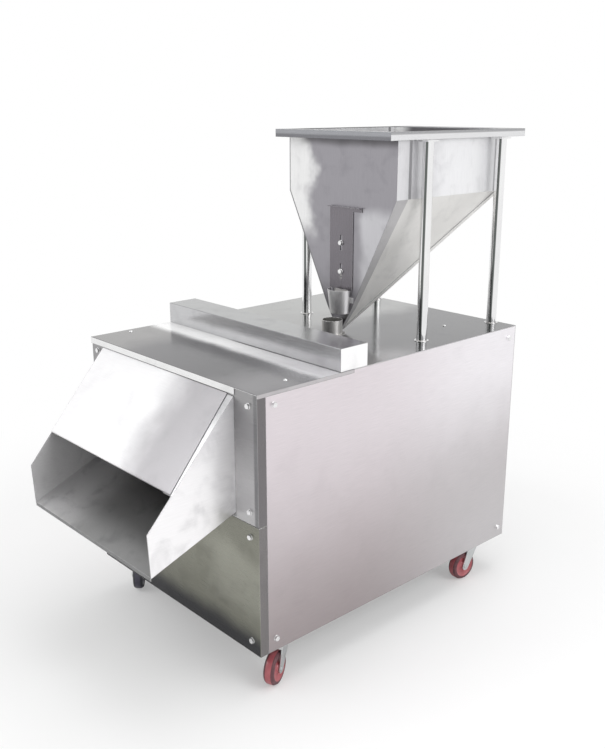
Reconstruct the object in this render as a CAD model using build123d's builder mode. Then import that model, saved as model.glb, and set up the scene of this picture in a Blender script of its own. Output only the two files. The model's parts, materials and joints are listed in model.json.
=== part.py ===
from build123d import *
import os
from math import cos, radians, sin, sqrt

os.makedirs("parts", exist_ok=True)

# Nut slicer: cabinet on swivel casters, discharge chute in front, raised feed hopper behind.
# Millimetres. Z is up, X is to the right seen from the chute, the chute faces -Y.
# The origin lies on the floor under the middle of the overall length and width.

# Cabinet
cabinet_width = 740.0
cabinet_depth = 1010.0
cabinet_height = 690.0
ground_clearance = 115.0
sheet = 2.0
bend = 1.0
tube = 40.0
tube_wall = 2.0
tube_corner = 4.0
panel_gap = 1.0

# Discharge chute, hood and the mouth behind it
chute_reach = 257.0
chute_half_width = 284.0
chute_left_spread = 26.0
hood_right_top = 24.0
hood_right_low = 5.0
cheek_top_drop = 22.0
cheek_front_top = 506.0
cheek_front_bottom = 395.0
cheek_lean = 5.0
chute_floor_rear = 486.0
cheek_flange = 34.0
cheek_rear_flange = 15.0
hood_reach = 186.0
floor_lip = 9.0
floor_rear_flange = 14.0
mouth_half_width = 262.0
mouth_top = 740.0

# Casing details
corner_return = 25.0
front_band = 18.0
front_band_right = 288.0
side_band = 10.0
front_seam = 469.0
bar_front = 270.0
bar_depth = 95.0
bar_height = 60.0
bottom_flange = 8.0
vent_length = 90.0
vent_height = 7.0
vent_pitch = 18.0
vent_rows = 7
vent_spacing = 320.0
vent_centre = 340.0

# Hopper
hopper_x = 60.0
hopper_front = 568.0
hopper_half_width = 211.0
hopper_depth = 455.0
hopper_bend = 393.0
hopper_top = 570.0
funnel_knee = 73.0
funnel_knee_half_width = 48.0
funnel_knee_depth = 82.0
funnel_tip = 6.0
funnel_tip_half_width = 7.0
funnel_tip_depth = 12.0
funnel_sill = 60.0
front_flange_top = 46.0
front_flange_knee = 18.0
rear_flange = 20.0
flange_tip = 5.0
rim_over_front = 43.0
rim_over_side = 15.0
rim_over_rear = 92.0
rim_lip = 22.0
post_radius = 15.0
post_offset = 27.0
post_front = 660.0
post_rear = 984.0
post_foot_radius = 20.0
post_foot = 2.0
post_cap = 4.0
post_cap_depth = 44.0

# Gate and spout
gate_offset = 8.0
gate_width = 92.0
gate_bottom = 127.0
gate_top = 363.0
gate_travel = 18.0
gate_gap = 0.3
gate_lip = 13.0
gate_grip = 34.0
gate_grip_height = 12.0
gate_bolt_heights = (178.0, 260.0)
outlet_half_width = 28.0
outlet_top = 177.0
spout_radius = 40.0
spout_foot_radius = 32.0
spout_low = 58.0
spout_ear = 10.0
spout_ear_height = 16.0
feed_tube_front = 533.0
feed_tube_radius = 30.0
feed_tube_gap = 14.0
feed_tube_above = 42.0
feed_collar = 39.0

# Drive deck, slicing drum and cutter
deck_height = 532.0
deck_thickness = 4.0
deck_front = 360.0
slide_half_width = 258.0
slide_wall = 40.0
slide_under_drum = 4.0
slide_gap = 5.0
cutter_offset = 105.0
drum_radius = 165.0
drum_wall = 3.0
housing_height = 116.0
drum_height = 100.0
drum_outlet_half = 90.0
drum_outlet_height = 45.0
disc_radius = 160.0
disc_thickness = 6.0
disc_rise = 55.0
knife_count = 3
knife_length = 96.0
knife_width = 24.0
knife_thickness = 3.0
knife_slot = 12.0
knife_radius = 96.0
shaft_radius = 15.0
running_gap = 0.05
hub_radius = 28.0
hub_height = 27.0
spigot_radius = 12.0
nut_height = 13.0
nut_flats = 30.0
ejector_rise = 10.0
ejector_thickness = 8.0
ejector_arm = 120.0
bearing_radius = 31.0
bearing_width = 16.0
housing_radius = 45.0
housing_flange_radius = 75.0
housing_flange = 8.0

# Belt drive and motor
pulley_top_gap = 16.0
pulley_width = 36.0
cutter_pulley_radius = 60.0
motor_pulley_radius = 45.0
groove_depth = 10.0
groove_top = 13.0
groove_bottom = 8.0
groove_pitch = 18.0
belt_width = 7.0
belt_depth = 8.5
belt_gap = 0.5
motor_behind = 312.0
motor_shaft_radius = 12.0
motor_radius = 70.0
motor_length = 194.0
motor_flange_radius = 85.0
motor_flange = 10.0
motor_rib = 5.0
fan_cover_height = 38.0

# Casters
caster_height = 118.0
wheel_radius = 45.0
wheel_width = 30.0
axle_radius = 6.0
trail = 28.0
caster_plate_length = 58.0
caster_plate_width = 84.0
caster_plate = 3.0
race_radius = 24.0
race_height = 7.0
race_gap = 0.3
crown_height = 6.0
kingpin_radius = 6.0
fork_wall = 3.0
fork_side_gap = 2.0
caster_inset = 38.0
caster_front = 92.0
caster_rear_inset = 125.0
caster_turns = {"front_right": 25.0, "rear_right": -6.0, "front_left": 50.0, "rear_left": 12.0}

# Hexagon head bolts
bolt_radius = 4.0
bolt_flats = 13.0
bolt_head = 5.3
bolt_length = 12.0
bolt_clearance = 0.2
washer_radius = 8.0
washer = 1.2
bolt_inset = 32.0
side_bolt_front = 51.0
side_bolt_rear = 32.0
bolt_top_drop = 34.0
bolt_low = 150.0
seam_bolt_offset = 33.0

# Places that follow from the sizes
half_width = cabinet_width / 2
top = ground_clearance + cabinet_height
overall_length = chute_reach + hopper_front + hopper_depth + rim_over_rear
front_y = chute_reach - overall_length / 2
cover_under = top - sheet
post_x = half_width - sheet - tube / 2
hopper_left = hopper_x - hopper_half_width
hopper_right = hopper_x + hopper_half_width
bend_z = top + hopper_bend
rim_top = top + hopper_top
rim_low = rim_top - rim_lip
knee_z = top + funnel_knee
tip_z = top + funnel_tip
sill_z = top + funnel_sill
deck_top = deck_height + deck_thickness
drum_floor = deck_top + housing_height
drum_lid = drum_floor + drum_height
disc_height = drum_floor + disc_rise
ejector_height = drum_floor + ejector_rise
feed_tube_low = disc_height + disc_thickness + knife_thickness + feed_tube_gap
feed_tube_top = top + feed_tube_above
slide_reach = feed_tube_front - drum_radius + slide_under_drum
slide_rise = drum_floor - slide_gap - chute_floor_rear - sheet
caster_x = half_width - caster_inset
caster_rear = cabinet_depth - caster_rear_inset
cutter_x = hopper_x - cutter_offset
gate_x = hopper_x + gate_offset
cheek_top = top - cheek_top_drop


def depth(distance):
    """Y of a place that lies so far behind the cabinet's front face."""
    return front_y + distance


hopper_front_y = depth(hopper_front)
hopper_rear_y = depth(hopper_front + hopper_depth)
cutter_y = depth(feed_tube_front)
motor_y = cutter_y + motor_behind


def save(piece, name):
    piece.label = name
    export_step(piece, f"parts/{name}.step")


def folded(plane, points, length, thickness=sheet, side=Side.LEFT):
    """Sheet metal bent along a line of points and drawn out along the plane's normal."""
    with BuildPart() as bent:
        with BuildSketch(plane):
            with BuildLine():
                FilletPolyline(*points, radius=bend)
                offset(amount=thickness, side=side)
            make_face()
        extrude(amount=length)
    return bent.part


def plate_yz(points, x_low, thickness):
    """Flat plate cut to an outline in the YZ plane."""
    with BuildPart() as cut:
        with BuildSketch(Plane.YZ.offset(x_low)):
            with BuildLine():
                Polyline(*points, close=True)
            make_face()
        extrude(amount=thickness)
    return cut.part


def trimmed(piece, plane, keep):
    """The part of the piece that lies on one side of a plane."""
    with BuildPart() as cut:
        add(piece)
        split(bisect_by=plane, keep=keep)
    return cut.part


def cheek_plane(x_rear, x_front, reach):
    """Upright plane from the front panel to a place before it; its normal points to the left."""
    run = Vector(x_front - x_rear, -reach, 0).normalized()
    return Plane(origin=(x_rear, front_y, 0), x_dir=run, z_dir=run.cross(Vector(0, 0, 1)))


def square_tube(plane, length):
    with BuildPart() as rail:
        with BuildSketch(plane):
            RectangleRounded(tube, tube, tube_corner)
            RectangleRounded(tube - 2 * tube_wall, tube - 2 * tube_wall, tube_corner - tube_wall,
                             mode=Mode.SUBTRACT)
        extrude(amount=length)
    return rail.part


# Hexagon head bolts hold the panels: each is a place on the panel's face and the way out of it.
bolt_heights = (bolt_low, top - bolt_top_drop)
front_bolt_heights = (bolt_low, front_seam - seam_bolt_offset, front_seam + seam_bolt_offset,
                      top - bolt_top_drop)
side_bolt_places = [
    (side * half_width, depth(y), z)
    for side in (-1, 1)
    for y in (side_bolt_front, cabinet_depth - side_bolt_rear)
    for z in bolt_heights
]
front_bolt_places = [(side * (half_width - bolt_inset), front_y, z)
                     for side in (-1, 1) for z in front_bolt_heights]
rear_bolt_places = [(side * (half_width - bolt_inset), depth(cabinet_depth), z)
                    for side in (-1, 1) for z in bolt_heights]
gate_bolt_places = [(gate_x, hopper_front_y - gate_gap - sheet, top + z)
                    for z in gate_bolt_heights]


def outward(place):
    """Plane on a panel bolt's seat, its normal pointing out of the machine."""
    x, y, z = place
    if abs(abs(x) - half_width) < 0.5:
        return Plane(origin=place, x_dir=(0, 1, 0), z_dir=(x / abs(x), 0, 0))
    if y > depth(cabinet_depth) - 0.5:
        return Plane(origin=place, x_dir=(1, 0, 0), z_dir=(0, 1, 0))
    return Plane(origin=place, x_dir=(1, 0, 0), z_dir=(0, -1, 0))


def drilled(piece, places):
    """The piece with a clearance hole behind each of the bolt places."""
    with BuildPart() as bored:
        add(piece)
        for place in places:
            with BuildSketch(outward(place)):
                Circle(bolt_radius + bolt_clearance)
            extrude(amount=-(bolt_length + 1), mode=Mode.SUBTRACT)
    return bored.part


# Frame of square tube
for side, side_name in ((-1, "left"), (1, "right")):
    for y, end_name in ((sheet + tube / 2, "front"), (cabinet_depth - sheet - tube / 2, "rear")):
        corner = Plane.XY.offset(caster_height)
        corner.origin = Vector(side * post_x, depth(y), caster_height)
        post = square_tube(corner, cover_under - caster_height)
        near = [p for p in side_bolt_places + front_bolt_places + rear_bolt_places
                if abs(p[0] - side * post_x) < tube and abs(p[1] - depth(y)) < tube / 2 + 3]
        save(drilled(post, near), f"frame_post_{end_name}_{side_name}")

rail_front = depth(sheet + tube)
rail_length = cabinet_depth - 2 * sheet - 2 * tube
for side, side_name in ((-1, "left"), (1, "right")):
    for z, level in ((caster_height, "bottom"), (deck_height - tube, "deck"),
                     (cover_under - tube, "top")):
        start = Plane(origin=(side * post_x, rail_front, z + tube / 2), x_dir=(1, 0, 0),
                      z_dir=(0, 1, 0))
        near = [p for p in side_bolt_places
                if p[0] * side > 0 and p[1] < 0 and abs(p[2] - z - tube / 2) < tube / 2]
        save(drilled(square_tube(start, rail_length), near), f"frame_{level}_rail_{side_name}")

cross_length = 2 * (post_x - tube / 2)
for y, z, rail_name in ((caster_front, caster_height, "frame_bottom_cross_front"),
                        (caster_rear, caster_height, "frame_bottom_cross_rear"),
                        (bar_front + bar_depth / 2, cover_under - tube, "frame_top_cross")):
    start = Plane(origin=(-cross_length / 2, depth(y), z + tube / 2), x_dir=(0, 1, 0),
                  z_dir=(1, 0, 0))
    save(square_tube(start, cross_length), rail_name)

# Side panels: one sheet each, folded in along the bottom
side_length = cabinet_depth - sheet - corner_return - panel_gap
for side, side_name in ((-1, "left"), (1, "right")):
    profile = [(side * (half_width - bottom_flange), ground_clearance),
               (side * half_width, ground_clearance), (side * half_width, cover_under)]
    inner = Side.LEFT if side > 0 else Side.RIGHT
    panel = folded(Plane.XZ.offset(-depth(cabinet_depth - sheet)), profile, side_length, side=inner)
    places = [p for p in side_bolt_places if p[0] * side > 0]
    save(drilled(panel, places), f"side_panel_{side_name}")

# Front panels: upper one with the discharge mouth, lower one plain, both returned round the corners
front_profile = [(-half_width, depth(corner_return)), (-half_width, front_y),
                 (half_width, front_y), (half_width, depth(corner_return))]
with BuildPart() as front_panel_upper:
    add(folded(Plane.XY.offset(front_seam + panel_gap), front_profile,
               cover_under - front_seam - panel_gap))
    mouth_low = chute_floor_rear + sheet
    with BuildSketch(Plane.XZ.offset(-front_y)):
        with Locations((0, (mouth_low + mouth_top) / 2)):
            Rectangle(2 * mouth_half_width, mouth_top - mouth_low)
    extrude(amount=-2 * sheet, mode=Mode.SUBTRACT)
save(drilled(front_panel_upper.part, [p for p in front_bolt_places if p[2] > front_seam]),
     "front_panel_upper")

front_lower = folded(Plane.XY.offset(ground_clearance), front_profile,
                     front_seam - panel_gap - ground_clearance)
save(drilled(front_lower, [p for p in front_bolt_places if p[2] < front_seam]), "front_panel_lower")

# Rear panel with ventilation slots for the motor
with BuildPart() as rear_panel:
    with BuildSketch(Plane.XZ.offset(-depth(cabinet_depth))):
        with Locations((0, (ground_clearance + cover_under) / 2)):
            Rectangle(cabinet_width, cover_under - ground_clearance)
        with Locations((0, vent_centre)):
            with GridLocations(vent_spacing, vent_pitch, 2, vent_rows):
                SlotOverall(vent_length, vent_height, mode=Mode.SUBTRACT)
    extrude(amount=sheet)
save(drilled(rear_panel.part, rear_bolt_places), "rear_panel")

# Top covers: the front one is folded down over front and side panels, the rear one carries the hopper
cover_joint = bar_front + bar_depth / 2
cover_half = half_width + sheet
front_cover_profile = [(depth(-sheet), top - front_band), (depth(-sheet), top),
                       (depth(cover_joint - panel_gap), top)]
with BuildPart() as front_top_cover:
    add(folded(Plane.YZ.offset(-cover_half), front_cover_profile, 2 * cover_half, side=Side.RIGHT))
    with BuildSketch(Plane.XZ.offset(-front_y)):
        with Locations(((front_band_right + cover_half) / 2, cover_under - front_band / 2)):
            Rectangle(cover_half - front_band_right, front_band)
    extrude(amount=sheet, mode=Mode.SUBTRACT)
    for side in (-1, 1):
        with BuildSketch(Plane.YZ.offset(side * half_width)):
            with Locations((depth((cover_joint - panel_gap) / 2), top - side_band / 2)):
                Rectangle(cover_joint - panel_gap, side_band)
        extrude(amount=side * sheet)
save(front_top_cover.part, "front_top_cover")

with BuildPart() as rear_top_cover:
    with BuildSketch(Plane.XY.offset(cover_under)):
        with Locations((0, depth((cover_joint + panel_gap + cabinet_depth) / 2))):
            Rectangle(cabinet_width, cabinet_depth - cover_joint - panel_gap)
        with Locations((gate_x, cutter_y)):
            Circle(feed_tube_radius + bolt_clearance, mode=Mode.SUBTRACT)
    extrude(amount=sheet)
save(rear_top_cover.part, "rear_top_cover")

# Bar cover: folded box across the joint of the top covers, closed at both ends
bar_profile = [(depth(bar_front), top), (depth(bar_front), top + bar_height),
               (depth(bar_front + bar_depth), top + bar_height), (depth(bar_front + bar_depth), top)]
with BuildPart() as bar_cover:
    add(folded(Plane.YZ.offset(-half_width + sheet), bar_profile, cabinet_width - 2 * sheet,
               side=Side.RIGHT))
    for x in (-half_width, half_width - sheet):
        add(plate_yz(bar_profile, x, sheet))
save(bar_cover.part, "bar_cover")

# Chute cheeks: plates with a flange along the slanted edge, on which the hood lies
slant = (cheek_top - cheek_front_top) / chute_reach
slant_length = sqrt(1 + slant * slant)
cheek_profile = [(front_y, cheek_top), (depth(-chute_reach), cheek_front_top),
                 (depth(-chute_reach + cheek_lean), cheek_front_bottom),
                 (front_y, chute_floor_rear - sheet)]
flange_drop = sheet * slant_length
flange_profile = [(front_y, cheek_top), (depth(-hood_reach), cheek_top - slant * hood_reach),
                  (depth(-hood_reach), cheek_top - slant * hood_reach - flange_drop),
                  (front_y, cheek_top - flange_drop)]
rear_flange_profile = [(depth(-sheet), cheek_top - slant * sheet), (front_y, cheek_top - slant * sheet),
                       (front_y, chute_floor_rear), (depth(-sheet), chute_floor_rear)]
left_face = cheek_plane(-chute_half_width - chute_left_spread, -chute_half_width, chute_reach)
right_face = cheek_plane(chute_half_width, chute_half_width, chute_reach)
left_stretch = sqrt(1 + (chute_left_spread / chute_reach) ** 2)
for side, side_name, face, stretch in ((-1, "left", left_face, left_stretch),
                                       (1, "right", right_face, 1.0)):
    rear_x = face.origin.X
    edge = side * (chute_half_width - cheek_flange)
    rear_edge = rear_x - side * cheek_rear_flange
    with BuildPart() as cheek:
        with BuildSketch(face):
            with BuildLine():
                Polyline(*[((front_y - y) * stretch, z) for y, z in cheek_profile], close=True)
            make_face()
        extrude(amount=side * sheet)
        inside = Keep.TOP if side > 0 else Keep.BOTTOM
        add(trimmed(plate_yz(flange_profile, min(rear_x, edge), abs(rear_x - edge)), face, inside))
        add(trimmed(plate_yz(rear_flange_profile, min(rear_x, rear_edge), cheek_rear_flange), face,
                    inside))
    save(trimmed(cheek.part, Plane.XZ.offset(-front_y), Keep.TOP), f"chute_cheek_{side_name}")

# Hood: its right edge leaves the cheek's flange bare towards the top
hood_profile = [(front_y, cheek_top), (depth(-hood_reach), cheek_top - slant * hood_reach),
                (depth(-hood_reach), cheek_top - slant * hood_reach + flange_drop),
                (front_y, cheek_top + flange_drop)]
hood_left = -chute_half_width - chute_left_spread
hood_edge = cheek_plane(chute_half_width - hood_right_top, chute_half_width - hood_right_low,
                        hood_reach)
hood = trimmed(plate_yz(hood_profile, hood_left, chute_half_width - hood_left), left_face, Keep.BOTTOM)
save(trimmed(hood, hood_edge, Keep.TOP), "hood_plate")

# Chute floor between the cheeks, its front and rear edges folded down
floor_front = depth(-chute_reach + cheek_lean)
floor_profile = [(floor_front, cheek_front_bottom - floor_lip + sheet),
                 (floor_front, cheek_front_bottom + sheet), (front_y, chute_floor_rear),
                 (front_y, chute_floor_rear - floor_rear_flange)]
chute_floor = folded(Plane.YZ.offset(hood_left), floor_profile, chute_half_width - sheet - hood_left,
                     side=Side.RIGHT)
save(trimmed(chute_floor, left_face.offset(-sheet), Keep.BOTTOM), "chute_floor")


# Hopper: straight box above, funnel below whose front wall stays upright
def hopper_form(grow_x, grow_y):
    """Solid outline of box and funnel, each wall moved out by the given amounts."""
    levels = ((tip_z, funnel_tip_half_width, funnel_tip_depth),
              (knee_z, funnel_knee_half_width, funnel_knee_depth),
              (bend_z, hopper_half_width, hopper_depth))
    with BuildPart() as form:
        for pair in zip(levels, levels[1:]):
            for z, half, back in pair:
                with BuildSketch(Plane.XY.offset(z)):
                    with Locations((hopper_x, hopper_front_y + back / 2)):
                        Rectangle(2 * (half + grow_x), back + 2 * grow_y)
            loft(ruled=True)
        with BuildSketch(Plane.XY.offset(bend_z)):
            with Locations((hopper_x, hopper_front_y + hopper_depth / 2)):
                Rectangle(2 * (hopper_half_width + grow_x), hopper_depth + 2 * grow_y)
        extrude(amount=rim_top - sheet - bend_z)
    return form.part


front_strip = [(hopper_front_y, rim_top), (hopper_front_y + front_flange_top, rim_top),
               (hopper_front_y + front_flange_top, bend_z),
               (hopper_front_y + front_flange_knee, knee_z), (hopper_front_y + flange_tip, tip_z),
               (hopper_front_y, tip_z)]
knee_rear_y = hopper_front_y + funnel_knee_depth
tip_rear_y = hopper_front_y + funnel_tip_depth
rear_strip = [(hopper_rear_y - rear_flange, rim_top), (hopper_rear_y, rim_top), (hopper_rear_y, bend_z),
              (knee_rear_y, knee_z), (tip_rear_y, tip_z), (tip_rear_y - flange_tip, tip_z),
              (knee_rear_y - rear_flange, knee_z), (hopper_rear_y - rear_flange, bend_z)]
span = hopper_half_width + 2 * sheet
with BuildPart() as hopper_body:
    add(hopper_form(sheet, 0))
    add(plate_yz(front_strip, hopper_x - span, 2 * span)
        + plate_yz(rear_strip, hopper_x - span, 2 * span), mode=Mode.INTERSECT)
    add(hopper_form(0, 0))
    with BuildPart(mode=Mode.PRIVATE) as hollow:
        add(hopper_form(-sheet, -sheet))
        with BuildSketch(Plane.XY.offset(rim_top - 2 * sheet)):
            with Locations((hopper_x, hopper_front_y + hopper_depth / 2)):
                Rectangle(2 * (hopper_half_width - sheet), hopper_depth - 2 * sheet)
        extrude(amount=3 * sheet)
        with BuildSketch(Plane.XY.offset(sill_z - sheet)):
            with Locations((hopper_x, hopper_front_y + hopper_depth / 2)):
                Rectangle(2 * hopper_half_width, hopper_depth)
        extrude(amount=sheet, mode=Mode.SUBTRACT)
    add(hollow.part, mode=Mode.SUBTRACT)
    outlet_low = sill_z
    outlet_high = top + outlet_top
    with BuildSketch(Plane.XZ.offset(-hopper_front_y)):
        with Locations((gate_x, (outlet_low + outlet_high) / 2)):
            Rectangle(2 * outlet_half_width, outlet_high - outlet_low)
        with Locations(*[(gate_x, top + z) for z in gate_bolt_heights]):
            Circle(bolt_radius + bolt_clearance)
    extrude(amount=-2 * sheet, mode=Mode.SUBTRACT)
save(hopper_body.part, "hopper_body")

# Rim: flange round the mouth with its edge folded down
rim_left = hopper_left - rim_over_side
rim_right = hopper_right + rim_over_side
rim_front = hopper_front_y - rim_over_front
rim_rear = hopper_rear_y + rim_over_rear
with BuildPart() as hopper_rim:
    rim_centre = ((rim_left + rim_right) / 2, (rim_front + rim_rear) / 2)
    with BuildSketch(Plane.XY.offset(rim_low)):
        with Locations(rim_centre):
            Rectangle(rim_right - rim_left, rim_rear - rim_front)
            Rectangle(rim_right - rim_left - 2 * sheet, rim_rear - rim_front - 2 * sheet,
                      mode=Mode.SUBTRACT)
    extrude(amount=rim_lip)
    with BuildSketch(Plane.XY.offset(rim_top - sheet)):
        with Locations(rim_centre):
            Rectangle(rim_right - rim_left, rim_rear - rim_front)
        with Locations((hopper_x, hopper_front_y + hopper_depth / 2)):
            Rectangle(2 * (hopper_half_width - sheet), hopper_depth - 2 * sheet, mode=Mode.SUBTRACT)
    extrude(amount=sheet)
save(hopper_rim.part, "hopper_rim")

# Four round posts with a foot on the cover and a cap plate under the rim
for side, side_name in ((-1, "left"), (1, "right")):
    for y, end_name in ((post_front, "front"), (post_rear, "rear")):
        centre_x = hopper_x + side * (hopper_half_width + post_offset)
        cap_inner = hopper_x + side * (hopper_half_width + 2 * sheet)
        cap_outer = centre_x + side * (post_radius + sheet)
        with BuildPart() as hopper_post:
            with BuildSketch(Plane.XY.offset(top)):
                with Locations((centre_x, depth(y))):
                    Circle(post_foot_radius)
            extrude(amount=post_foot)
            with BuildSketch(Plane.XY.offset(top + post_foot)):
                with Locations((centre_x, depth(y))):
                    Circle(post_radius)
                    Circle(post_radius - sheet, mode=Mode.SUBTRACT)
            extrude(amount=rim_low - post_cap - top - post_foot)
            with BuildSketch(Plane.XY.offset(rim_low - post_cap)):
                with Locations(((cap_inner + cap_outer) / 2, depth(y))):
                    Rectangle(abs(cap_outer - cap_inner), post_cap_depth)
            extrude(amount=post_cap)
        save(hopper_post.part, f"hopper_post_{end_name}_{side_name}")

# Gate plate: slides up and down on two bolts, its upper edge bent out as a grip
gate_rear = hopper_front_y - gate_gap
gate_profile = [(gate_rear, top + gate_bottom), (gate_rear, top + gate_top),
                (gate_rear - gate_lip, top + gate_top)]
with BuildPart() as gate_plate:
    add(folded(Plane.YZ.offset(gate_x - gate_width / 2), gate_profile, gate_width + gate_grip))
    with BuildSketch(Plane.XZ.offset(-gate_rear)):
        grip_low = top + gate_top - gate_grip_height
        with Locations((gate_x + (gate_width + gate_grip) / 2, (top + gate_bottom + grip_low) / 2)):
            Rectangle(gate_grip, grip_low - top - gate_bottom)
        with Locations(*[(gate_x, top + z) for z in gate_bolt_heights]):
            SlotOverall(2 * (gate_travel + bolt_radius + 2 * bolt_clearance),
                        2 * (bolt_radius + 2 * bolt_clearance), rotation=90)
    extrude(amount=2 * sheet, both=True, mode=Mode.SUBTRACT)
save(gate_plate.part, "gate_plate")


# Spout: rounded cowl under the gate, over the feed tube, with an ear on each side
def spout_form(inset):
    """Half cone in front of the hopper's front wall, its surface moved in by the inset."""
    with BuildPart() as form:
        for z, radius in ((spout_low, spout_foot_radius), (gate_bottom, spout_radius)):
            with BuildSketch(Plane.XY.offset(top + z)):
                with Locations((gate_x, hopper_front_y)):
                    Circle(radius - inset)
                    Rectangle(4 * radius, 2 * radius, align=(Align.CENTER, Align.MIN),
                              mode=Mode.SUBTRACT)
        loft()
    return form.part


gate_lowest = top + gate_bottom - gate_travel
with BuildPart() as outlet_spout:
    add(spout_form(0))
    with BuildSketch(Plane.XZ.offset(-hopper_front_y)):
        with Locations((gate_x, gate_lowest - sheet - spout_ear_height / 2)):
            Rectangle(2 * (spout_radius + spout_ear), spout_ear_height)
    extrude(amount=sheet)
    add(spout_form(sheet), mode=Mode.SUBTRACT)
    with BuildSketch(Plane.XY.offset(gate_lowest - sheet)):
        with Locations((gate_x, hopper_front_y)):
            Rectangle(gate_width + 2 * sheet, 4 * sheet)
    extrude(amount=gate_travel + 2 * sheet, mode=Mode.SUBTRACT)
save(outlet_spout.part, "outlet_spout")

# Feed tube down through the cover and the drum's lid, with a collar on the cover
with BuildPart() as feed_tube:
    with BuildSketch(Plane.XY.offset(feed_tube_low)):
        with Locations((gate_x, cutter_y)):
            Circle(feed_tube_radius)
    extrude(amount=feed_tube_top - feed_tube_low)
    with BuildSketch(Plane.XY.offset(top)):
        with Locations((gate_x, cutter_y)):
            Circle(feed_collar)
    extrude(amount=post_foot)
    with BuildSketch(Plane.XY.offset(feed_tube_low)):
        with Locations((gate_x, cutter_y)):
            Circle(feed_tube_radius - sheet)
    extrude(amount=feed_tube_top - feed_tube_low, mode=Mode.SUBTRACT)
save(feed_tube.part, "feed_tube")

# All the hexagon head bolts, each with its washer
with BuildPart() as hex_bolts:
    for place in side_bolt_places + front_bolt_places + rear_bolt_places + gate_bolt_places:
        seat = outward(place)
        with BuildSketch(seat.offset(-bolt_length)):
            Circle(bolt_radius)
        extrude(amount=bolt_length)
        with BuildSketch(seat):
            Circle(washer_radius)
        extrude(amount=washer)
        with BuildSketch(seat.offset(washer)):
            RegularPolygon(bolt_flats / 2, 6, major_radius=False)
        extrude(amount=bolt_head)
save(hex_bolts.part, "hex_bolts")

# Drive deck: sheet across the deck rails, turned up in front to carry the slide
deck_half = half_width - sheet - panel_gap
slide_slope = slide_rise / slide_reach
slide_under = chute_floor_rear + sheet + slide_slope * (deck_front - sheet)
with BuildPart() as drive_deck:
    with BuildSketch(Plane.XY.offset(deck_height)):
        with Locations((0, depth((deck_front + cabinet_depth - sheet - tube) / 2))):
            Rectangle(2 * deck_half, cabinet_depth - sheet - tube - deck_front - panel_gap)
        with Locations((cutter_x, cutter_y), (cutter_x, motor_y)):
            Circle(shaft_radius * 2, mode=Mode.SUBTRACT)
    extrude(amount=deck_thickness)
    with BuildSketch(Plane.XZ.offset(-depth(deck_front))):
        with Locations((0, (deck_top + slide_under) / 2)):
            Rectangle(2 * slide_half_width, slide_under - deck_top)
    extrude(amount=-deck_thickness)
save(drive_deck.part, "drive_deck")

# Inner slide from below the drum to the discharge mouth, with low side walls
slide_length = sqrt(slide_reach ** 2 + slide_rise ** 2)
slide_start = Plane(origin=(0, depth(sheet), chute_floor_rear + sheet), x_dir=(1, 0, 0),
                    z_dir=(0, slide_reach, slide_rise))
slide_profile = [(-slide_half_width, -slide_wall), (-slide_half_width, 0), (slide_half_width, 0),
                 (slide_half_width, -slide_wall)]
save(folded(slide_start, slide_profile, slide_length, side=Side.RIGHT), "inner_slide")

# Bearing housing between deck and drum, bored for a bearing at each end
with BuildPart() as bearing_housing:
    with BuildSketch(Plane.XZ.offset(-cutter_y)):
        with BuildLine():
            Polyline((cutter_x + bearing_radius, deck_top),
                     (cutter_x + housing_flange_radius, deck_top),
                     (cutter_x + housing_flange_radius, deck_top + housing_flange),
                     (cutter_x + housing_radius, deck_top + housing_flange),
                     (cutter_x + housing_radius, drum_floor - housing_flange),
                     (cutter_x + housing_flange_radius, drum_floor - housing_flange),
                     (cutter_x + housing_flange_radius, drum_floor),
                     (cutter_x + bearing_radius, drum_floor),
                     (cutter_x + bearing_radius, drum_floor - bearing_width),
                     (cutter_x + bearing_radius - 5, drum_floor - bearing_width),
                     (cutter_x + bearing_radius - 5, deck_top + bearing_width),
                     (cutter_x + bearing_radius, deck_top + bearing_width), close=True)
        make_face()
    revolve(axis=Axis((cutter_x, cutter_y, 0), (0, 0, 1)))
save(bearing_housing.part, "bearing_housing")

with BuildPart() as shaft_bearings:
    for z in (deck_top, drum_floor - bearing_width):
        with BuildSketch(Plane.XY.offset(z)):
            with Locations((cutter_x, cutter_y)):
                Circle(bearing_radius)
                Circle(shaft_radius + running_gap, mode=Mode.SUBTRACT)
        extrude(amount=bearing_width)
save(shaft_bearings.part, "shaft_bearings")

# Drum round the cutter, open at the foot of its front wall, and its lid
with BuildPart() as slicing_drum:
    with BuildSketch(Plane.XY.offset(drum_floor)):
        with Locations((cutter_x, cutter_y)):
            Circle(drum_radius + drum_wall)
    extrude(amount=drum_lid - drum_floor)
    with BuildSketch(Plane.XY.offset(drum_floor + drum_wall)):
        with Locations((cutter_x, cutter_y)):
            Circle(drum_radius)
    extrude(amount=drum_lid - drum_floor, mode=Mode.SUBTRACT)
    with BuildSketch(Plane.XY.offset(drum_floor)):
        with Locations((cutter_x, cutter_y)):
            Circle(hub_radius)
    extrude(amount=drum_wall, mode=Mode.SUBTRACT)
    with BuildSketch(Plane.XY.offset(drum_floor + drum_wall)):
        with Locations((cutter_x, cutter_y - drum_radius)):
            Rectangle(2 * drum_outlet_half, drum_radius)
    extrude(amount=drum_outlet_height, mode=Mode.SUBTRACT)
save(slicing_drum.part, "slicing_drum")

with BuildPart() as drum_lid_plate:
    with BuildSketch(Plane.XY.offset(drum_lid)):
        with Locations((cutter_x, cutter_y)):
            Circle(drum_radius + drum_wall)
        with Locations((gate_x, cutter_y)):
            Circle(feed_tube_radius + bolt_clearance, mode=Mode.SUBTRACT)
    extrude(amount=drum_wall)
save(drum_lid_plate.part, "drum_lid")

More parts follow.
